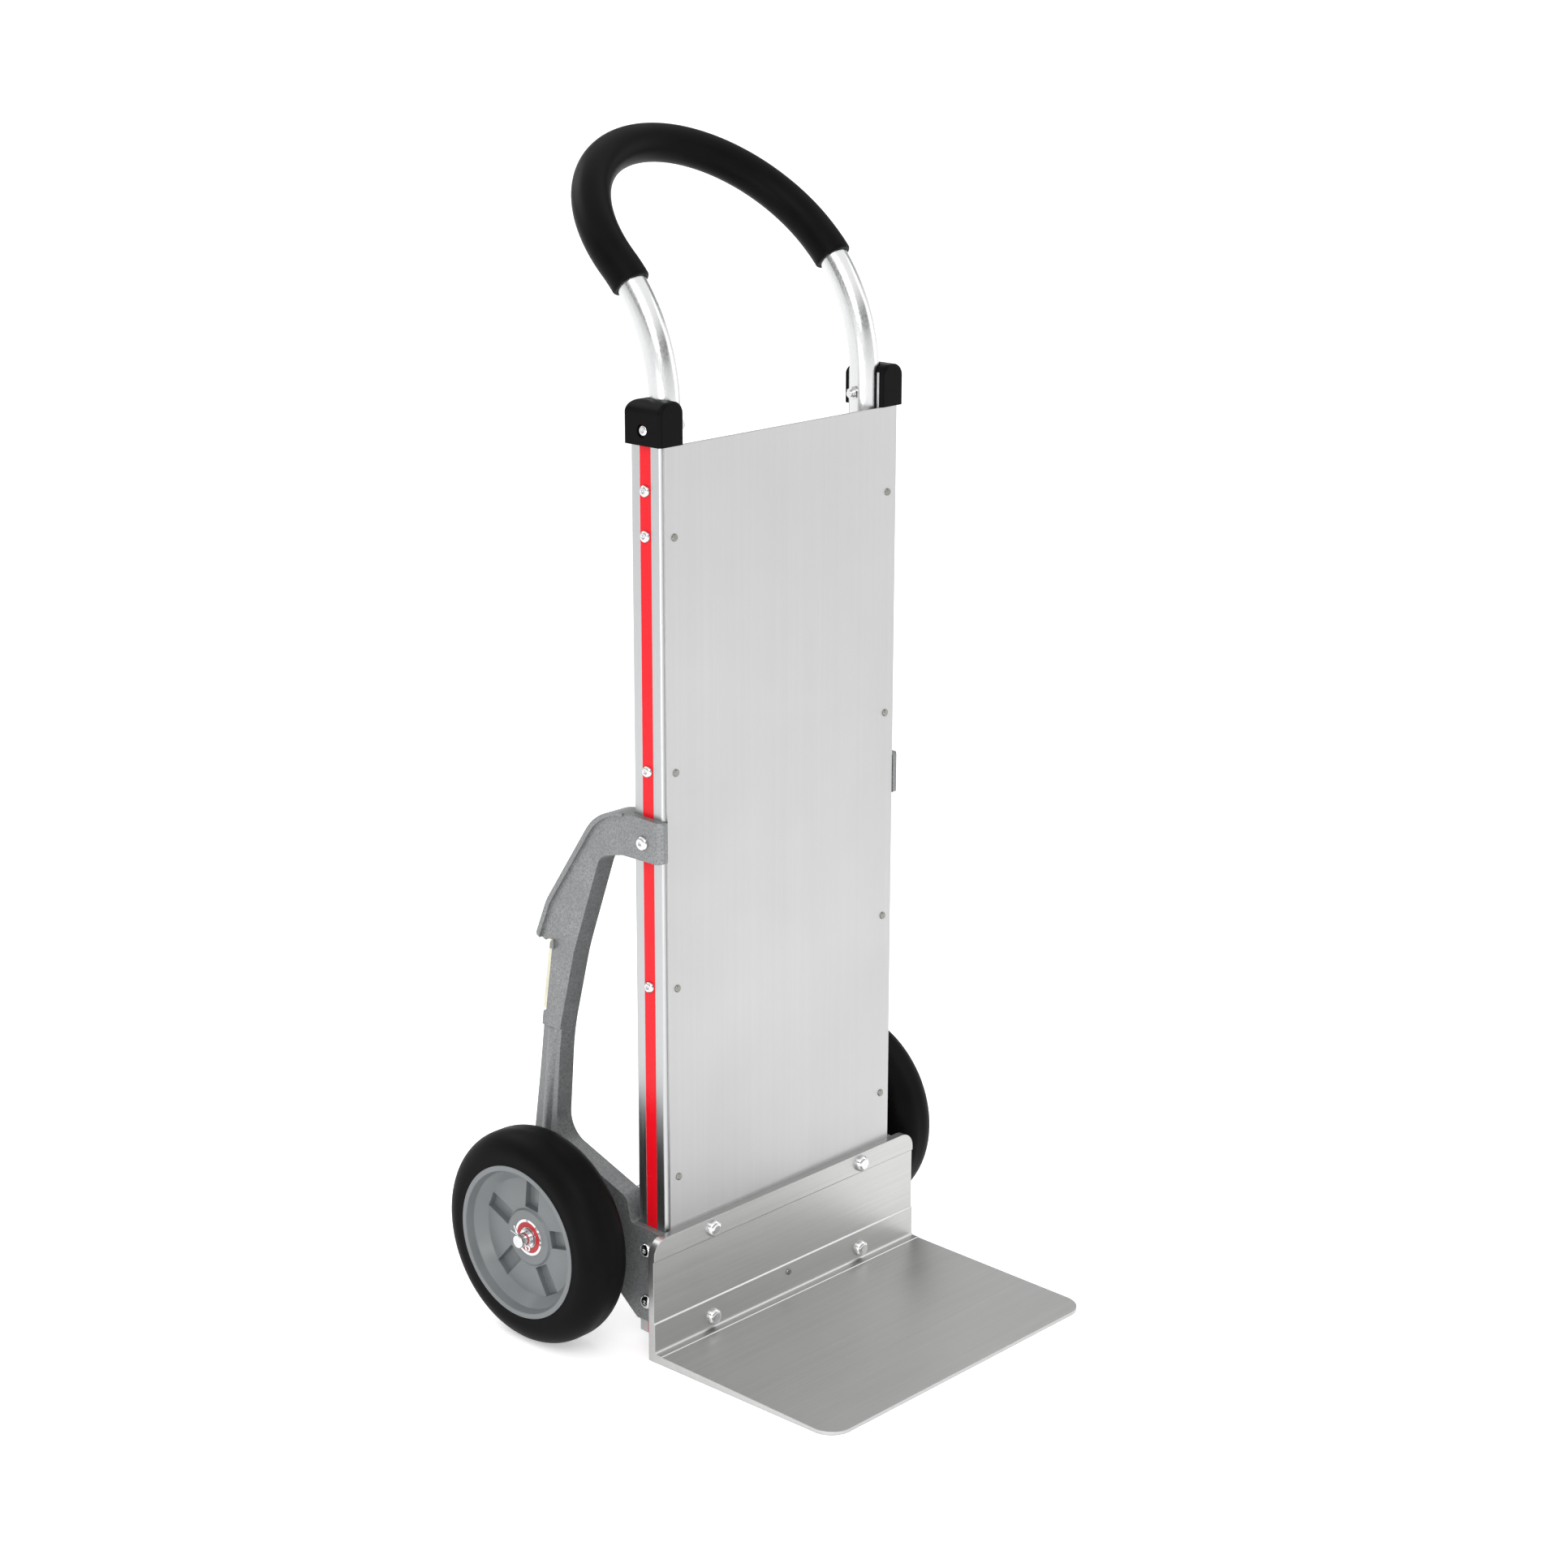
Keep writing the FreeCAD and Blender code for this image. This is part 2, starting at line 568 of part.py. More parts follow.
def build_handle():
    radius = number("$tubeRadius")
    path = handle_path(0)
    tube = swept(path, radius).cut(swept(path, radius - number("$tubeWall")))
    reach = number(HANDLE_X) + 2 * radius
    middle = number(RAIL_MID)
    for level in HANDLE_BOLTS:
        z = number(level)
        hole = rod(number("$boltRadius + $holeGap"), Vector(-reach, middle, z),
                   Vector(reach, middle, z))
        tube = tube.cut(hole)
    shaped("handle_tube", tube)
    cover = handle_path(number("$bendAngle - $gripSetback"))
    sleeve = swept(cover, radius + number("$gripThick"))
    shaped("handle_grip", sleeve.cut(swept(handle_path(0), radius)))


def build_handle_fasteners():
    length = "$legInset + $tubeRadius + $nutHigh + 2"
    bolt = bolt_master("HandleBolt", length, "$boltHead", "$boltHeadHigh", socket=True)
    sides = (("-", FACE_LEFT, FACE_RIGHT), ("", FACE_RIGHT, FACE_LEFT))
    group("handle_bolts", bolt, [("%s(%s)" % (sign, RAIL_X), RAIL_MID, z, outward)
                                 for sign, outward, inward in sides for z in HANDLE_BOLTS])
    group("handle_nuts", nut, [("%s(%s - $tubeRadius)" % (sign, HANDLE_X), RAIL_MID, z, inward)
                               for sign, outward, inward in sides for z in HANDLE_BOLTS])
    spacer = master_body("HandleSpacer")
    reach = "($legInset - $railWeb)"
    discs(spacer, "XY_Plane", [("0", "0")], "$screwBoss", "0", reach)
    discs(spacer, "XY_Plane", [("0", "0")], "$boltRadius + $holeGap", "0", reach, cut=True)
    discs(spacer, "YZ_Plane", [("0", reach)], "$tubeRadius", "-2 * $screwBoss",
          "4 * $screwBoss", cut=True)
    group("handle_spacers", spacer, [("%s%s" % (sign, WEB_INNER), RAIL_MID, z, inward)
                                     for sign, outward, inward in sides for z in HANDLE_BOLTS])


def build_cap():
    body = new_body("left_rail_cap")
    outer = "(%s + $capWall)" % RAIL_X
    front = "(%s - $capWall)" % RAIL_FRONT
    back = "(%s + $capWall)" % RAIL_BACK
    top = "($panelTop + $capHeight)"
    box(body, ("-" + outer, "-" + RAIL_INNER), (front, back), ("$panelTop", top))
    top_z = number(top)
    inner_x = -number(RAIL_INNER)
    back_y = number(back)
    outer_x = -number(outer)
    round_edges(body, "$capRound", lambda e: near(centre(e).z, top_z) and (
                near(centre(e).x, inner_x) or near(centre(e).x, outer_x)
                or near(centre(e).y, back_y)))
    round_edges(body, "$capSoft", lambda e: along(e, "X") and near(centre(e).z, top_z))
    round_edges(body, "$capSoft", lambda e: along(e, "Z") and near(centre(e).x, outer_x))
    box(body, ("-(%s) - $fitGap" % RAIL_X, "-%s + 1" % RAIL_INNER),
        ("%s - $fitGap" % RAIL_FRONT, "%s + $fitGap" % RAIL_BACK),
        ("$panelTop - 1", RAIL_TOP + " + $fitGap"), cut=True)
    room = "($tubeRadius + 2 * $capGap)"
    discs(body, "XY_Plane", [("-" + HANDLE_X, RAIL_MID)], room, "$panelTop", "$capHeight + 1",
          cut=True)
    discs(body, "YZ_Plane", [(RAIL_MID, HANDLE_BOLTS[1])], "$recessRadius",
          "-%s - 1" % outer, "$capWall + 2", cut=True)


# ---------------------------------------------------------------- axle brackets

def wear_seat():
    """Low and high end of the straight back edge that carries the wear strip."""
    back = number(RAIL_BACK)
    hook = number("$lugLevel + $lugHeight/2 - $hookDrop")
    low = Vector(0, back + number("$ledgeReach"), hook - number("$ledgeDrop"))
    return low, Vector(0, back + number("$hookReach"), hook)


def bracket_outline():
    """Side view of the casting, as corners (y, z, corner radius)."""
    front = number(RAIL_FRONT)
    back = number(RAIL_BACK)
    axle_y = number("$axleBack")
    axle_z = number("$wheelRadius")
    lug_top = number("$lugLevel + $lugHeight/2")
    lug_low = number("$lugLevel - $lugHeight/2")
    plate_top = number(MID_BOLT + " + $footEdge")
    plate_low = number("$lowBoltLevel - $footEdge")
    lug_front = front - number("$lugWrap")
    seat_low, seat_high = wear_seat()
    upper_arm = [(lug_front, lug_top, 3), (back + 43, lug_top + 4, 70),
                 (back + 132, lug_top - 127, 60)]
    hook = [(back + 151, lug_top - 173, 4), (back + 138, lug_top - 179, 3),
            (seat_high.y, seat_high.z, 2)]
    ledge = [(seat_low.y, seat_low.z, 1), (seat_low.y + 5, seat_low.z - 3, 1)]
    lower_arm = [(axle_y + 63, axle_z + 171, 200), (axle_y + 77, axle_z + 76, 60),
                 (axle_y + 58, axle_z + 6, 40), (axle_y + 12, axle_z - 25, 14)]
    foot = [(back + 26, plate_low + 26, 12), (back - 6, plate_low, 6), (front, plate_low, 2),
            (front, plate_top, 4), (back + 3, plate_top + 2, 6), (back + 9, plate_top + 31, 14)]
    front_edge = [(axle_y + 38.5, axle_z + 93, 34), (axle_y + 28, axle_z + 221, 300),
                  (axle_y, axle_z + 331, 300), (back + 46, lug_low - 8, 22),
                  (back + 10, lug_low, 10), (lug_front, lug_low, 3)]
    return rounded_outline(upper_arm + hook + ledge + lower_arm + foot + front_edge)


def slab(outline_face, start, end):
    """A side view given its thickness from one X to another."""
    solid = outline_face.extrude(Vector(end - start, 0, 0))
    solid.translate(Vector(start, 0, 0))
    return solid


def beyond(x=None, y=None, z=None):
    """Large block that starts at the given corner and runs to +X, +Y, +Z."""
    far = 2000
    low = Vector(-far if x is None else x, -far if y is None else y, -far if z is None else z)
    return Part.makeBox(2 * far, 2 * far, 2 * far, low)


# Centre line of the half-round pad: how far behind the axle it starts, and its
# further turning points as offsets (Y, Z) from the axle.
PAD_START = 42
PAD_ROUTE = [(48, 165), (56, 92), (42, 38), (10, 6)]


def build_bracket():
    face = -number(BRACKET_X)
    inner = face + number("$bracketWide")
    front = number(RAIL_FRONT)
    back = number(RAIL_BACK)
    axle_y = number("$axleBack")
    axle_z = number("$wheelRadius")
    lug_top = number("$lugLevel + $lugHeight/2")
    side = Part.Face(bracket_outline())
    casting = slab(side, face, inner)
    # hollow on the inner side, behind the rail
    pocket = side.makeOffset2D(-number("$bracketWall"))
    hollow = slab(pocket, face + number("$bracketSkin"), inner + 1)
    casting = casting.cut(hollow.common(beyond(y=back + number("$bracketWall"))))
    # room for the rail, and for the panel edge in front of it
    casting = casting.cut(beyond(x=-number(RAIL_X), y=front).cut(beyond(y=back)))
    casting = casting.cut(beyond(x=-number(RAIL_X) + number("$lugLip")).cut(beyond(y=front)))
    # slanted outer front edge of the lug
    lug_front = front - number("$lugWrap")
    bevel = number("$lugBevel")
    corner = [Vector(face, lug_front, 0), Vector(face + bevel, lug_front, 0),
              Vector(face, lug_front + bevel, 0), Vector(face, lug_front, 0)]
    wedge = Part.Face(Part.makePolygon(corner)).extrude(Vector(0, 0, lug_top + bevel))
    casting = casting.cut(wedge.common(beyond(z=number("$lugLevel - $lugHeight"))))
    # raised rim along the back of the upper arm
    rim = side.cut(side.translated(Vector(0, -number("$rimWidth"), -0.7 * number("$rimWidth"))))
    rim = slab(rim, face - number("$rimProud"), face)
    rim_low = lug_top - number("$rimLength")
    casting = casting.fuse(rim.common(beyond(y=back + number("$rimStart"), z=rim_low)))
    # the lower arm is relieved and carries a half-round pad
    pad_top = wear_seat()[0].z - number("$padDrop")
    relief = beyond(y=axle_y - number("$reliefAhead"), z=axle_z + number("$reliefRise"))
    relief = relief.cut(beyond(z=pad_top))
    casting = casting.cut(relief.cut(beyond(x=face + number("$padRelief"))))
    radius = number("$padRadius")
    pad_start = Vector(face + radius, axle_y + PAD_START, pad_top - radius / 2)
    spots = [pad_start] + [Vector(face + radius, axle_y + y, axle_z + z) for y, z in PAD_ROUTE]
    for i, spot in enumerate(spots):
        casting = casting.fuse(Part.makeSphere(radius, spot))
        if i:
            casting = casting.fuse(rod(radius, spots[i - 1], spot))
    # axle boss and bore, bolt holes
    axle_low = Vector(-number(BOSS_X), axle_y, axle_z)
    axle_high = Vector(inner + number("$axleBossProud"), axle_y, axle_z)
    casting = casting.fuse(rod(number("$axleBossRadius"), axle_low, axle_high))
    casting = casting.cut(rod(number("$axleRadius + $axleFit"), axle_low, axle_high))
    for level in BRACKET_BOLTS:
        start = Vector(face - 1, number(RAIL_MID), number(level))
        casting = casting.cut(rod(number("$boltRadius + $holeGap"), start,
                                  start + Vector(number("$bracketThick") + 2, 0, 0)))
    shaped("left_axle_bracket", casting.removeSplitter())


def build_wear_strip():
    """Plastic strip on the straight back edge, between the hook and the ledge."""
    seat_low, seat_high = wear_seat()
    ahead = (seat_high - seat_low).normalize()
    out = Vector(0, ahead.z, -ahead.y) * number("$wearThick")
    low = seat_low + ahead * number("$wearGap")
    high = seat_high - ahead * (number("$wearThick") + 2 * number("$wearGap"))
    face = Part.Face(Part.makePolygon([low, high, high + out, low + out, low]))
    outer = -number(BRACKET_X)
    shaped("left_wear_strip", slab(face, outer, outer + number("$bracketWide")))


def build_bracket_fasteners():
    length = "$bracketThick + $railWeb + $baseEnd + $nutHigh + 2"
    bolt = bolt_master("BracketBolt", length, "$bracketBoltHead", "$bracketBoltHeadHigh",
                       socket=True)
    bolts = []
    nuts = []
    for sign, outward, inward in (("-", FACE_LEFT, FACE_RIGHT), ("", FACE_RIGHT, FACE_LEFT)):
        for z in BRACKET_BOLTS:
            bolts.append(("%s(%s)" % (sign, BRACKET_X), RAIL_MID, z, outward))
            ends = "$fitGap + $baseEnd" if z in BRACKET_BOLTS[:2] else "0"
            nuts.append(("%s(%s - (%s))" % (sign, WEB_INNER, ends), RAIL_MID, z, inward))
    group("bracket_bolts", bolt, bolts)
    group("bracket_nuts", nut, nuts)


def build_crossbar_bolts():
    bolt = bolt_master("CrossbarBolt", "$railWeb + 22", "$boltHead", "$boltHeadHigh",
                       socket=True)
    places = [("-(%s)" % RAIL_X, RAIL_MID, z, FACE_LEFT) for z in BAR_LEVELS]
    places += [(RAIL_X, RAIL_MID, z, FACE_RIGHT) for z in BAR_LEVELS]
    group("crossbar_bolts", bolt, places)


# ---------------------------------------------------------------- axle and wheels

AT_AXLE = {"y": "$axleBack", "z": "$wheelRadius"}


def ring(body, start, end, inner, outer):
    """Round ring about X between two X formulas."""
    revolve(body, [(start, inner), (end, inner), (end, outer), (start, outer)], "H_Axis")


def build_axle():
    """Through axle, turned so that its cross holes take the tilted cotter pins."""
    body = new_body("axle", **AT_AXLE)
    body.Placement.Rotation = Rotation(Vector(1, 0, 0), number("$pinTilt - 90"))
    ring(body, "-" + AXLE_END_X, AXLE_END_X, "0", "$axleRadius")
    end = number(AXLE_END_X)
    round_edges(body, "1.2", lambda e: near(abs(centre(e).x), end))
    holes = [("%s(%s - $pinSetback)" % (sign, AXLE_END_X), "0") for sign in ("-", "")]
    discs(body, "XY_Plane", holes, "$pinWire + $holeGap", "-2 * $axleRadius", "4 * $axleRadius",
          cut=True)


def rings(label, spans, inner, outer):
    """One or more coaxial rings on the left end of the axle."""
    body = new_body(label, **AT_AXLE)
    for start, end in spans:
        ring(body, start, end, inner, outer)


# X spans of the outboard and the inboard bearing of the left wheel.
BEARINGS = [("-" + HUB_FACE_X, "-%s + $bearingWidth" % HUB_FACE_X),
            ("-%s - $bearingWidth" % HUB_END_X, "-" + HUB_END_X)]


def build_axle_hardware():
    bore = "$axleRadius + $axleFit"
    washer = ("-(%s + $sideGap + $washerThick)" % HUB_FACE_X, "-(%s + $sideGap)" % HUB_FACE_X)
    rings("left_axle_spacer", [("-(%s - $sideGap)" % HUB_END_X, "-" + BOSS_X)], bore,
          "$spacerRadius")
    rings("left_axle_washer", [washer], bore, "$washerRadius")
    rings("left_inner_races", BEARINGS, bore, "$innerRaceOuter")


def build_cotter_pin():
    """Split pin through the axle end: eye in front, legs spread behind and up."""
    wire = number("$pinWire")
    reach = number("$axleRadius") + 1.5
    tilt = math.radians(number("$pinTilt"))
    hub = Vector(-number("%s - $pinSetback" % AXLE_END_X), number("$axleBack"),
                 number("$wheelRadius"))
    ahead = Vector(0, math.cos(tilt), math.sin(tilt))
    aside = Vector(1, 0, 0)
    pin = rod(wire, hub - ahead * reach, hub + ahead * reach)
    pin = pin.fuse(Part.makeTorus(2 * wire, wire * 0.8, hub - ahead * (reach + 1.6 * wire), aside))
    across = ahead.cross(aside)
    for side in (-1, 1):
        root = hub + ahead * (reach - 1) + across * (side * wire * 0.35)
        tip = hub + ahead * (reach + 9) + across * (side * 4.5)
        pin = pin.fuse(rod(wire * 0.6, root, tip))
        pin = pin.fuse(Part.makeSphere(wire * 0.6, tip))
    shaped("left_cotter_pin", pin.removeSplitter())


RIM_EDGE = "($tyreWidth/2 + $lipProud)"
RIM_FLANGE = "(%s - $lipWidth)" % RIM_EDGE


def build_tyre():
    """Semi-pneumatic tyre with a seat between the two lips of the hub."""
    body = new_body("left_tyre", x="-" + WHEEL_X, **AT_AXLE)
    half = "$tyreWidth/2"
    revolve(body, [("-" + half, "$wheelRadius"), ("-" + half, "$rimLip"),
                   ("-" + RIM_FLANGE, "$rimLip"), ("-" + RIM_FLANGE, "$tyreSeat"),
                   (RIM_FLANGE, "$tyreSeat"), (RIM_FLANGE, "$rimLip"), (half, "$rimLip"),
                   (half, "$wheelRadius")], "H_Axis")
    widest = 2 * number("$wheelRadius")
    round_edges(body, "$tyreShoulder", lambda e: near(e.BoundBox.ZLength, widest, 0.5))


def build_hub():
    """Dished hub: rim with two lips, disc with radial channels on its outboard
    face, and a long boss."""
    body = new_body("left_hub", x="-" + WHEEL_X, **AT_AXLE)
    disc = "($discThick/2)"
    face = "(%s + $channelDepth)" % disc
    barrel = "($tyreSeat - $rimWall)"
    dish_foot = barrel + " - $dishDepth"
    lip = [(RIM_EDGE, barrel + " + $rimDraft"), (RIM_EDGE, "$rimLip"), (RIM_FLANGE, "$rimLip"),
           (RIM_FLANGE, "$tyreSeat")]
    inner_rim = [(disc, dish_foot), ("%s + $dishDepth" % disc, barrel)] + lip
    outer_lip = [("-" + x, radius) for x, radius in reversed(lip)]
    outer_rim = outer_lip + [("-%s - $dishDepth" % face, barrel), ("-" + face, dish_foot)]
    outer_boss = [("-" + face, "$hubBoss + $bossDraft"), ("-$hubOutboard", "$hubBoss"),
                  ("-$hubOutboard", "$bearingOuter"),
                  ("-$hubOutboard + $bearingWidth", "$bearingOuter"),
                  ("-$hubOutboard + $bearingWidth", "$hubCore")]
    inner_boss = [("$hubInboard - $bearingWidth", "$hubCore"),
                  ("$hubInboard - $bearingWidth", "$bearingOuter"),
                  ("$hubInboard", "$bearingOuter"), ("$hubInboard", "$hubBoss - $rimDraft"),
                  (disc, "$hubBoss + $bossDraft")]
    revolve(body, outer_rim + outer_boss + inner_boss + inner_rim, "H_Axis")
    turn = number("$channelTurn")
    root = "($hubBoss + $bossDraft + 1)"
    corners = [turned(reach, aside, turn) for reach, aside in (
        (root, "-$channelWidth/2"), (dish_foot, "-$channelWidth/2"),
        (dish_foot, "$channelWidth/2"), (root, "$channelWidth/2"))]
    sketch = new_sketch(body, "YZ_Plane", "-%s - 1" % face)
    add_polygon(sketch, corners)
    channel = extrude(body, sketch, "$channelDepth + 1", cut=True)
    pattern = body.newObject("PartDesign::PolarPattern", "Channels")
    pattern.Originals = [channel]
    pattern.Axis = (sketch, ["N_Axis"])
    pattern.Angle = 360
    pattern.setExpression("Occurrences", bound("$channelCount"))
    body.Tip = pattern


def build_bearings():
    race = "($bearingOuter - $outerRaceWall)"
    inner = "$innerRaceOuter + $sealGap"
    rings("left_outer_races", BEARINGS, race, "$bearingOuter")
    rings("left_bearing_seals", [("-" + HUB_FACE_X, "-%s + $sealThick" % HUB_FACE_X),
                                 ("-%s - $sealThick" % HUB_END_X, "-" + HUB_END_X)], inner, race)
    pitch = number("($innerRaceOuter + %s)/2" % race)
    count = int(number("$ballCount"))
    balls = []
    for start, end in BEARINGS:
        middle = (number(start) + number(end)) / 2
        for k in range(count):
            turn = 2 * math.pi * k / count
            spot = Vector(middle, number("$axleBack") + pitch * math.cos(turn),
                          number("$wheelRadius") + pitch * math.sin(turn))
            balls.append(Part.makeSphere(number("$ballRadius"), spot))
    shaped("left_bearing_balls", Part.makeCompound(balls))


# ---------------------------------------------------------------- assembly

nut = nut_master("LockNut")
build_rail()
build_strip()
build_panel()
build_rivets()
for bar, height in zip(("top_crossbar", "middle_crossbar", "lower_crossbar"), BAR_LEVELS):
    build_crossbar(bar, height)
build_base()
build_crossbar_bolts()
build_nose()
build_nose_fasteners()
build_handle()
build_handle_fasteners()
build_cap()
build_bracket()
build_wear_strip()
build_bracket_fasteners()
build_axle()
build_axle_hardware()
build_cotter_pin()
build_tyre()
build_hub()
build_bearings()

doc.recompute()
for piece in list(parts):
    if piece.Label.startswith("left_"):
        mirrored(piece, piece.Label.replace("left_", "right_"))
doc.recompute()

for item in doc.Objects:
    if "Invalid" in item.State or "Error" in item.State:
        raise RuntimeError("%s did not build: %s" % (item.Label, item.State))
os.makedirs("parts", exist_ok=True)
for piece in parts:
    if piece.Shape.isNull() or not piece.Shape.isValid():
        raise RuntimeError("%s has no valid shape" % piece.Label)
    piece.Shape.exportStep("parts/%s.step" % piece.Label)
    print("%-22s solids %2d  volume %10.0f" % (piece.Label, len(piece.Shape.Solids),
                                              piece.Shape.Volume))
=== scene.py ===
import bpy
import bmesh
import json
import math
from mathutils import Matrix, Vector


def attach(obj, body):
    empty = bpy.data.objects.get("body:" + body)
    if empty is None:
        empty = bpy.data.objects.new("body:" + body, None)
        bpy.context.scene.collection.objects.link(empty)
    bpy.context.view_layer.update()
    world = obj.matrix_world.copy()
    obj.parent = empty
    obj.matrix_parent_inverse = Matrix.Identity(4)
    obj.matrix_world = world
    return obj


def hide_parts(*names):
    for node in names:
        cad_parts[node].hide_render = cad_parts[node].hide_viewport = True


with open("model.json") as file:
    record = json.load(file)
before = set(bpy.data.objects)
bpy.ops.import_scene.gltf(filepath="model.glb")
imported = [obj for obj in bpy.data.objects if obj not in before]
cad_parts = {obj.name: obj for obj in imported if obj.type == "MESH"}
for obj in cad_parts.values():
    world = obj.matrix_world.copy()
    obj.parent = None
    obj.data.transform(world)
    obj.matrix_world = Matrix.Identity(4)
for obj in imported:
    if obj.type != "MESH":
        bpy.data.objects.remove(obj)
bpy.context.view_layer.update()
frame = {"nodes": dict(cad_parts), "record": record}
scene = bpy.context.scene


# ------------------------------------------------------------------ materials

# Sockets of the Mix node that carry colours; they share their names with the number sockets.
MIX_A, MIX_B, MIX_RESULT = 6, 7, 2


class Finish:
    """One procedural material on a Principled shader, in the object's own coordinates."""

    def __init__(self, name, metallic=0.0, **uniform):
        self.material = bpy.data.materials.new(name)
        self.material.use_nodes = True
        tree = self.material.node_tree
        self.nodes, self.links = tree.nodes, tree.links
        self.shader = next(n for n in self.nodes if n.type == "BSDF_PRINCIPLED")
        self.shader.inputs["Metallic"].default_value = metallic
        for socket, amount in uniform.items():
            self.shader.inputs[socket.replace("_", " ")].default_value = amount
        self.coords = self.nodes.new("ShaderNodeTexCoord").outputs["Object"]
        self.normal = None

    def put(self, socket, value):
        if hasattr(value, "is_output"):
            self.links.new(value, socket)
        else:
            socket.default_value = value

    def node(self, kind, inputs=(), **settings):
        made = self.nodes.new(kind)
        for key, value in settings.items():
            setattr(made, key, value)
        for key, value in dict(inputs).items():
            self.put(made.inputs[key], value)
        return made

    def stretched(self, scale):
        return self.node("ShaderNodeMapping", {"Vector": self.coords, "Scale": scale}).outputs[0]

    def noise(self, scale, detail=3.0, roughness=0.55):
        """Noise with its own number of features per metre along X, Y and Z."""
        inputs = {"Vector": self.stretched(scale), "Scale": 1.0, "Detail": detail,
                  "Roughness": roughness}
        return self.node("ShaderNodeTexNoise", inputs).outputs["Fac"]

    def pits(self, scale):
        """Distance to the nearest of so many points per metre."""
        inputs = {"Vector": self.stretched((scale,) * 3), "Scale": 1.0}
        return self.node("ShaderNodeTexVoronoi", inputs).outputs["Distance"]

    def remap(self, value, low, high, start=0.3, end=0.7):
        """Values from start to end, where noise mostly lies, spread from low to high."""
        inputs = {"Value": value, "From Min": start, "From Max": end, "To Min": low, "To Max": high}
        return self.node("ShaderNodeMapRange", inputs).outputs["Result"]

    def total(self, a, b):
        made = self.node("ShaderNodeMath", operation="ADD")
        self.put(made.inputs[0], a)
        self.put(made.inputs[1], b)
        return made.outputs[0]

    def blend(self, amount, first, second):
        """Colour between first and second; each is a colour or the output of a node."""
        made = self.node("ShaderNodeMix", data_type="RGBA")
        self.put(made.inputs["Factor"], amount)
        for socket, value in ((MIX_A, first), (MIX_B, second)):
            self.put(made.inputs[socket], value if hasattr(value, "is_output") else (*value, 1.0))
        return made.outputs[MIX_RESULT]

    def colour(self, value):
        self.put(self.shader.inputs["Base Color"], value)

    def gloss(self, value):
        self.put(self.shader.inputs["Roughness"], value)

    def soft_edges(self, radius):
        made = self.node("ShaderNodeBevel", samples=4)
        made.inputs["Radius"].default_value = radius
        self.normal = made.outputs["Normal"]
        self.put(self.shader.inputs["Normal"], self.normal)

    def bump(self, height, depth, strength=1.0):
        inputs = {"Height": height, "Distance": depth, "Strength": strength}
        if self.normal:
            inputs["Normal"] = self.normal
        self.normal = self.node("ShaderNodeBump", inputs).outputs["Normal"]
        self.put(self.shader.inputs["Normal"], self.normal)


def shade(colour, factor):
    return tuple(c * factor for c in colour)


def brushed(name, colour, rough, grain, depth=0.00004, contrast=0.12, edge=0.0006):
    """Drawn or brushed metal; grain is the number of streaks per metre along X, Y and Z."""
    wear = 0.05                     # roughness gained or lost in the broad clouds
    finish = Finish(name, metallic=1.0)
    finish.soft_edges(edge)
    fine = finish.noise(grain, detail=4.0, roughness=0.7)
    broad = finish.noise(tuple(g * 0.12 for g in grain), detail=2.0)
    cloud = finish.noise((3.5, 3.5, 3.5), detail=4.0)
    streaks = finish.blend(finish.remap(fine, 0.0, 1.0, 0.25, 0.75), shade(colour, 1 - contrast),
                           shade(colour, 1 + contrast * 0.5))
    bands = finish.blend(finish.remap(broad, 0.0, 0.35), streaks, shade(colour, 1 - contrast * 1.4))
    finish.colour(finish.blend(finish.remap(cloud, 0.0, 0.25), bands, shade(colour, 0.86)))
    finish.gloss(finish.total(finish.remap(fine, rough - 0.07, rough + 0.09, 0.25, 0.75),
                              finish.remap(cloud, -wear, wear)))
    finish.bump(fine, depth)
    return finish.material


def plated(name, colour, rough):
    """Bright plated fastener with fine turning marks and a little haze."""
    finish = Finish(name, metallic=1.0)
    finish.soft_edges(0.0003)
    haze = finish.noise((160, 160, 160), detail=4.0)
    finish.colour(finish.blend(finish.remap(haze, 0.0, 0.5), colour, shade(colour, 0.82)))
    finish.gloss(finish.remap(haze, rough - 0.05, rough + 0.12))
    finish.bump(finish.noise((1400, 1400, 1400), detail=2.0), 0.00001)
    return finish.material


def moulded(name, colour, rough, grain=900, depth=0.00003, edge=0.0006, variation=0.15, **uniform):
    """Moulded plastic or rubber with a fine spark-eroded grain."""
    finish = Finish(name, **uniform)
    if edge:
        finish.soft_edges(edge)
    cloud = finish.noise((22, 22, 22), detail=5.0)
    finish.colour(finish.blend(finish.remap(cloud, 0.0, 1.0), shade(colour, 1 - variation),
                               shade(colour, 1 + variation)))
    finish.gloss(finish.remap(cloud, rough - 0.05, rough + 0.06))
    finish.bump(finish.noise((grain,) * 3, detail=3.0), depth)
    return finish.material


def rough_cast(name, colour, rough):
    """Tumbled sand casting: speckled skin with pits and soft swells."""
    finish = Finish(name, metallic=0.35)
    finish.soft_edges(0.0012)
    speckle = finish.noise((420, 420, 420), detail=5.0, roughness=0.75)
    cloud = finish.noise((26, 26, 26), detail=5.0)
    pits = finish.pits(300)
    tone = finish.blend(finish.remap(speckle, 0.0, 1.0, 0.35, 0.65), shade(colour, 0.58),
                        shade(colour, 1.42))
    finish.colour(finish.blend(finish.remap(cloud, 0.0, 0.5), tone, shade(colour, 0.8)))
    finish.gloss(finish.remap(speckle, rough - 0.08, rough + 0.1))
    finish.bump(cloud, 0.0006, 0.5)
    finish.bump(finish.remap(pits, 0.0, 1.0, 0.0, 0.35), 0.00012, 0.6)
    finish.bump(speckle, 0.00015)
    return finish.material


# streaks per metre across and along the grain
FINE, LONG = 1500.0, 9.0
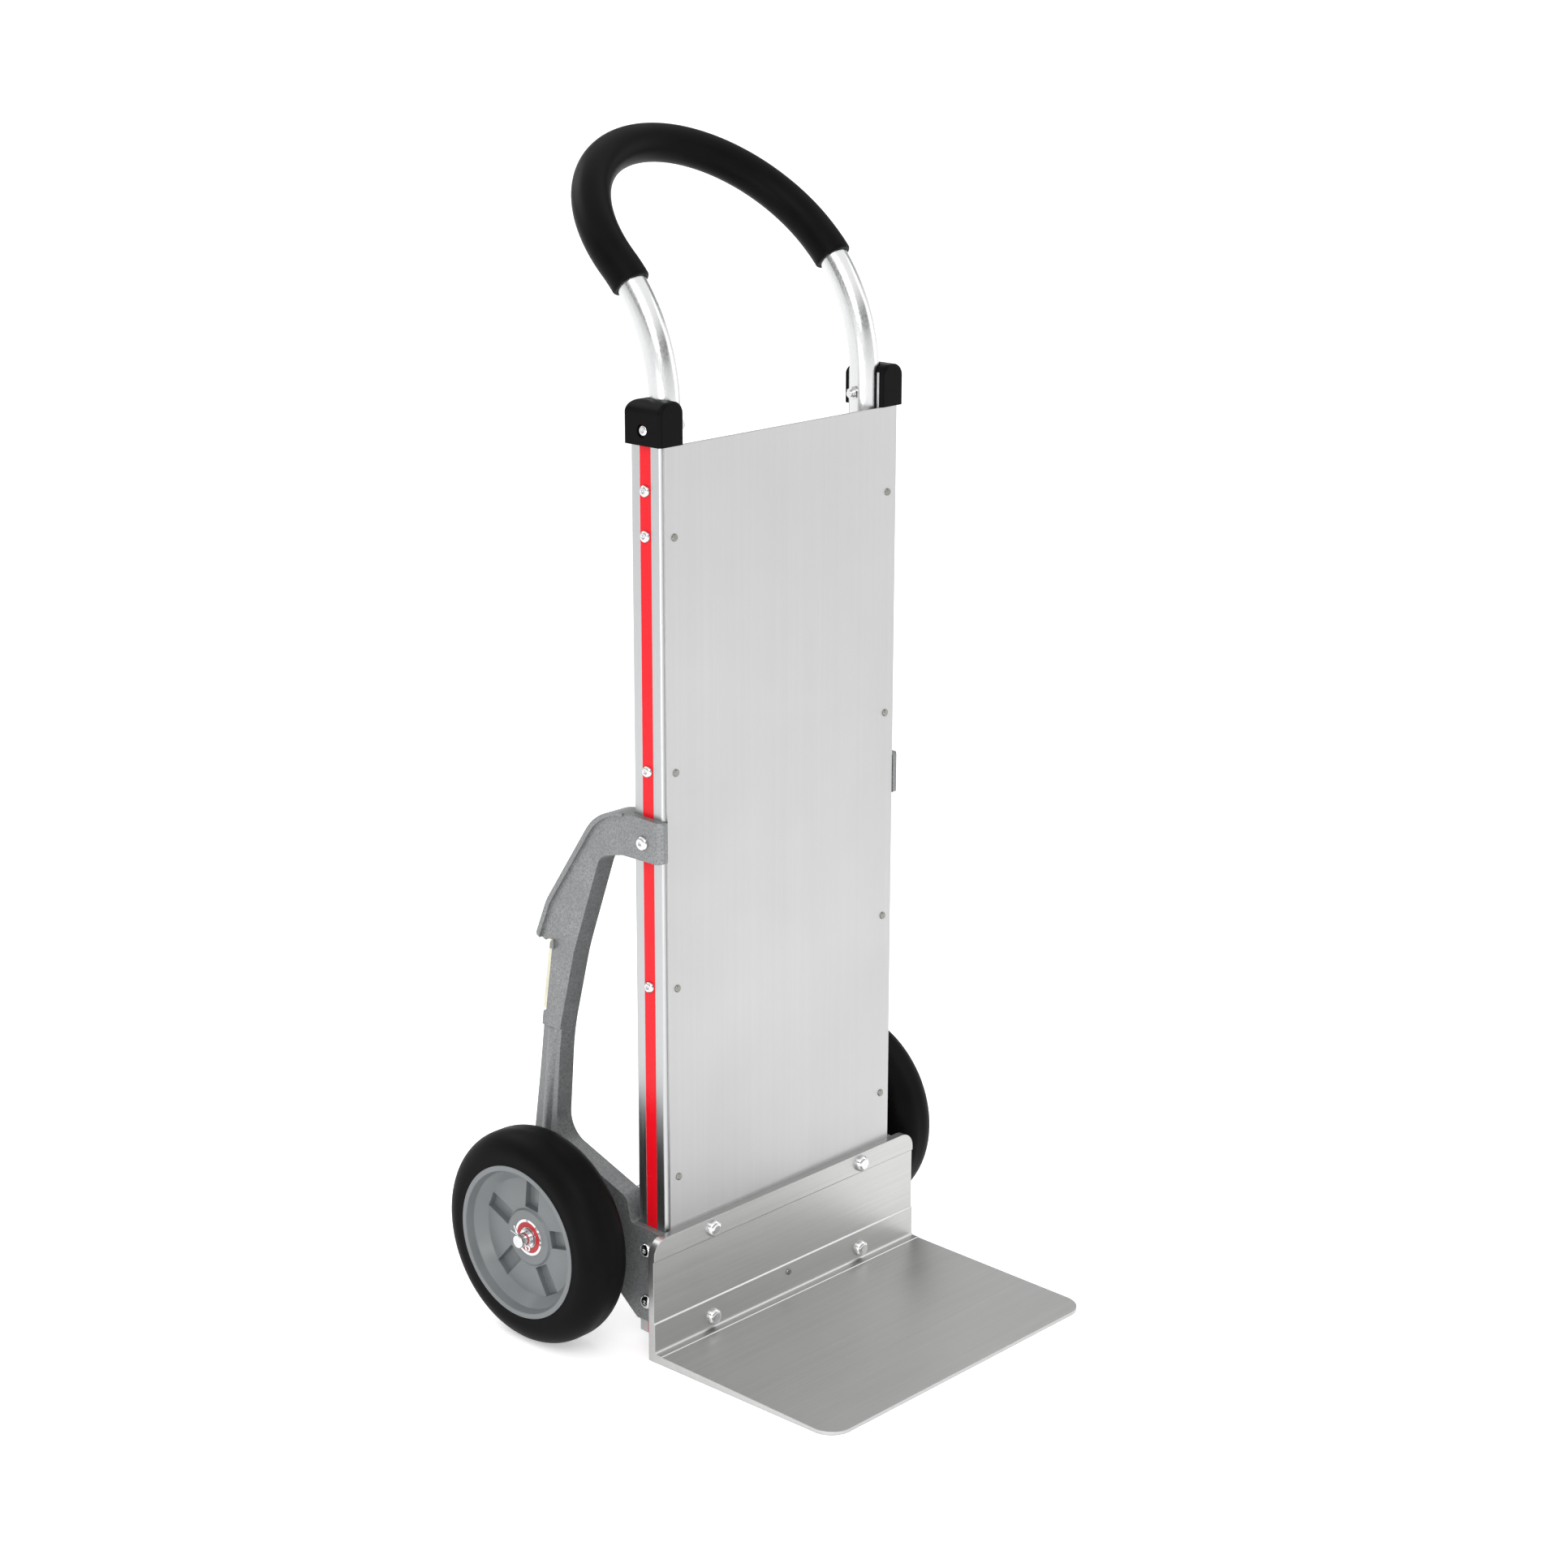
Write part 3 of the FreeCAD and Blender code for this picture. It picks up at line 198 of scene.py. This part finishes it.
# soft black plastics and rubbers mirror very little
DULL = {"Specular_IOR_Level": 0.04}
FINISHES = {
    "rail_aluminium": brushed("rail_metal", (0.46, 0.465, 0.47), 0.33, (FINE, FINE, LONG),
                              contrast=0.08),
    "panel_aluminium": brushed("panel_metal", (0.47, 0.47, 0.47), 0.38, (FINE, FINE, LONG),
                               contrast=0.07),
    "nose_aluminium": brushed("nose_metal", (0.51, 0.51, 0.505), 0.36, (LONG, FINE, FINE),
                              contrast=0.16, edge=0.0010),
    "crossbar_aluminium": brushed("crossbar_metal", (0.50, 0.505, 0.51), 0.34, (LONG, FINE, FINE)),
    "handle_aluminium": brushed("handle_metal", (0.66, 0.665, 0.67), 0.27, (700, 700, 30),
                                depth=0.00001, contrast=0.04),
    # rivets: plated metal whose base colour is darkened as painted shade, standing in for the
    # shadowed ring round each head
    "rivet_metal": plated("rivet_metal", (0.24, 0.24, 0.22), 0.12),
    "zinc_fastener": plated("zinc_plate", (0.66, 0.66, 0.66), 0.07),
    "spacer_metal": plated("spacer_plate", (0.60, 0.60, 0.61), 0.18),
    "axle_steel": plated("axle_plate", (0.62, 0.62, 0.63), 0.12),
    "bearing_steel": plated("ground_steel", (0.66, 0.66, 0.67), 0.12),
    "casting_metal": rough_cast("cast_aluminium", (0.185, 0.19, 0.193), 0.38),
    "trim_red": moulded("trim_vinyl", (0.60, 0.004, 0.011), 0.24, variation=0.03,
                        Specular_IOR_Level=0.2),
    "grip_black": moulded("grip_sleeve", (0.0035, 0.0035, 0.0038), 0.40, grain=1100,
                          depth=0.00004, edge=0.0, **DULL),
    "cap_black": moulded("cap_plastic", (0.0035, 0.0035, 0.004), 0.36, edge=0.0012, **DULL),
    "tyre_black": moulded("tyre_rubber", (0.0035, 0.0035, 0.0035), 0.46, grain=700,
                          depth=0.00006, edge=0.0, **DULL),
    "hub_grey": moulded("hub_nylon", (0.128, 0.138, 0.142), 0.34, variation=0.06, edge=0.0018),
    "seal_red": moulded("seal_rubber", (0.36, 0.004, 0.008), 0.35, edge=0.0004),
    "wear_strip_cream": moulded("wear_strip", (0.58, 0.56, 0.43), 0.5, edge=0.0006),
}

for part in frame["record"]["subparts"]:
    piece = frame["nodes"][part["node"]]
    piece.data.materials.clear()
    piece.data.materials.append(FINISHES[part["material_slot"]])


# ------------------------------------------------------------------ handle grip

# Centre line of the handle tube: its legs, the bend backwards and the straight neck.
LEG_X, LEG_Y, BEND_Z = 0.163, 0.034, 1.092
BEND_RADIUS, LEAN, NECK = 0.204, math.radians(48.0), 0.005
GRIP_START = math.radians(40.6)     # angle on the bend where the grip begins
# Radii of the sleeve's outer and inner wall and of its rolled ends.
GRIP_OUTER, GRIP_INNER, GRIP_LIP = 0.022, 0.0171, 0.0028
# Steps of the centre line along each bend and round the half circle at the top.
BEND_STEPS, LOOP_STEPS = 12, 72
ROLL_ANGLES = (0, 22, 45, 68, 90)


def grip_line():
    """Centre line of the sleeve, from the left end to the right end."""
    up = Vector((0, math.sin(LEAN), math.cos(LEAN)))

    def on_bend(side, angle):
        return Vector((side * LEG_X, LEG_Y + BEND_RADIUS * (1 - math.cos(angle)),
                       BEND_Z + BEND_RADIUS * math.sin(angle)))

    legs = {}
    for side in (-1, 1):
        legs[side] = [on_bend(side, GRIP_START + (LEAN - GRIP_START) * k / BEND_STEPS)
                      for k in range(BEND_STEPS + 1)]
        legs[side].append(legs[side][-1] + up * NECK)
    middle = (legs[-1][-1] + legs[1][-1]) / 2
    turns = [math.pi * k / LOOP_STEPS for k in range(1, LOOP_STEPS)]
    loop = [middle + LEG_X * (Vector((-math.cos(t), 0, 0)) + up * math.sin(t)) for t in turns]
    return legs[-1] + loop + legs[1][::-1]


def sleeve(name, line, outer, inner, lip, sides=56):
    """Swept tube with rolled ends and an inner wall, as one closed quad mesh."""
    frames = []
    side = Vector((0, 0, 1)).cross(line[1] - line[0]).normalized()
    for i, spot in enumerate(line):
        ahead = (line[min(i + 1, len(line) - 1)] - line[max(i - 1, 0)]).normalized()
        side = (side - ahead * side.dot(ahead)).normalized()
        frames.append((spot, ahead, side, ahead.cross(side)))
    # the rolled end, as (radius, distance from the end); it is longer than one step of the line
    roll = [(outer - lip + lip * math.sin(t), lip - lip * math.cos(t))
            for t in map(math.radians, ROLL_ANGLES)]
    rings = [(frames[0], radius, inset) for radius, inset in roll]
    rings += [(place, outer, 0.0) for place in frames[2:-2]]
    rings += [(frames[-1], radius, -inset) for radius, inset in reversed(roll)]
    rings += [(place, inner, 0.0) for place in reversed(frames)]
    bm = bmesh.new()
    loops = []
    turns = [2 * math.pi * k / sides for k in range(sides)]
    for (spot, ahead, u, v), radius, inset in rings:
        loops.append([bm.verts.new(spot + ahead * inset
                                   + (u * math.cos(t) + v * math.sin(t)) * radius)
                      for t in turns])
    for a, b in zip(loops, loops[1:] + loops[:1]):
        for k in range(sides):
            bm.faces.new((a[k], a[(k + 1) % sides], b[(k + 1) % sides], b[k]))
    bmesh.ops.recalc_face_normals(bm, faces=bm.faces)
    mesh = bpy.data.meshes.new(name)
    bm.to_mesh(mesh)
    bm.free()
    mesh.shade_smooth()
    made = bpy.data.objects.new(name, mesh)
    scene.collection.objects.link(made)
    return made


grip = sleeve("loop_grip", grip_line(), GRIP_OUTER, GRIP_INNER, GRIP_LIP)
grip.data.materials.append(FINISHES["grip_black"])
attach(grip, "frame")
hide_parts("handle_grip")


# ------------------------------------------------------------------ stage

FLOOR_HALF = 60.0                   # metres from the middle to each edge
FLOOR_DROP = 0.0005                 # metres below the wheels' lowest line


def floor():
    """Plain pale floor that glows faintly, so that it stays even and white."""
    mesh = bpy.data.meshes.new("floor")
    corners = [(x * FLOOR_HALF, y * FLOOR_HALF, 0) for x, y in ((-1, -1), (1, -1), (1, 1), (-1, 1))]
    mesh.from_pydata(corners, [], [(0, 1, 2, 3)])
    made = bpy.data.objects.new("floor", mesh)
    made.location.z = -FLOOR_DROP
    scene.collection.objects.link(made)
    finish = Finish("floor_paint", Emission_Strength=0.4)
    finish.colour((0.88, 0.88, 0.88, 1.0))
    finish.put(finish.shader.inputs["Emission Color"], (1.0, 1.0, 1.0, 1.0))
    finish.gloss(0.9)
    made.data.materials.append(finish.material)


def lamp(name, place, target, size, power):
    """Area lamp of a width and height in metres and a power in watts."""
    data = bpy.data.lights.new(name, "AREA")
    data.shape = "RECTANGLE"
    data.size, data.size_y = size
    data.energy = power
    made = bpy.data.objects.new(name, data)
    made.location = place
    made.rotation_euler = (Vector(target) - Vector(place)).to_track_quat("-Z", "Y").to_euler()
    scene.collection.objects.link(made)


# Brightness of the sky by the sine of the height above the horizon: pale at the horizon, a
# darker band above it for the metals to mirror, bright overhead.
SKY = [(0.0, 0.82), (0.25, 0.82), (0.30, 0.12), (0.40, 0.12), (0.58, 1.0)]
SKY_STRENGTH = 1.25


def studio_sky():
    world = bpy.data.worlds.new("studio")
    scene.world = world
    world.use_nodes = True
    nodes, links = world.node_tree.nodes, world.node_tree.links
    background = nodes["Background"]
    background.inputs["Color"].default_value = (1, 1, 1, 1)
    direction = nodes.new("ShaderNodeTexCoord")
    height = nodes.new("ShaderNodeSeparateXYZ")
    ramp = nodes.new("ShaderNodeValToRGB")
    for place, grey in SKY[1:-1]:
        ramp.color_ramp.elements.new(place)
    for element, (place, grey) in zip(ramp.color_ramp.elements, SKY):
        element.position = place
        element.color = (grey, grey, grey, 1.0)
    brightness = nodes.new("ShaderNodeMath")
    brightness.operation = "MULTIPLY"
    brightness.inputs[1].default_value = SKY_STRENGTH
    links.new(direction.outputs["Generated"], height.inputs[0])
    links.new(height.outputs["Z"], ramp.inputs["Fac"])
    links.new(ramp.outputs["Color"], brightness.inputs[0])
    links.new(brightness.outputs[0], background.inputs["Strength"])


floor()
lamp("key_light", (-2.6, -2.2, 3.4), (0, 0, 0.7), (2.2, 2.2), 60)
lamp("fill_light", (2.8, -1.6, 2.0), (0, 0, 0.7), (1.6, 2.4), 18)
lamp("low_light", (-2.4, -1.0, 0.6), (-0.2, 0.02, 0.2), (1.4, 0.8), 16)
lamp("back_light", (-0.6, 3.0, 2.8), (0, 0, 0.8), (2.5, 1.5), 35)
studio_sky()

# Camera of the main view: which way it looks round the object, down, and its roll, in degrees.
AZIMUTH, DOWN, ROLL = 47.396, 16.349, 0.18
camera = bpy.data.objects.new("camera", bpy.data.cameras.new("camera"))
camera.data.sensor_width = 36.0
camera.data.lens = 73.36
camera.location = (-2.5913, -2.3752, 1.6774)
aim = (Matrix.Rotation(math.radians(-AZIMUTH), 4, "Z")
       @ Matrix.Rotation(math.radians(90 - DOWN), 4, "X")
       @ Matrix.Rotation(math.radians(ROLL), 4, "Z"))
camera.rotation_euler = aim.to_euler()
scene.collection.objects.link(camera)
scene.camera = camera
scene.view_settings.view_transform = "Standard"
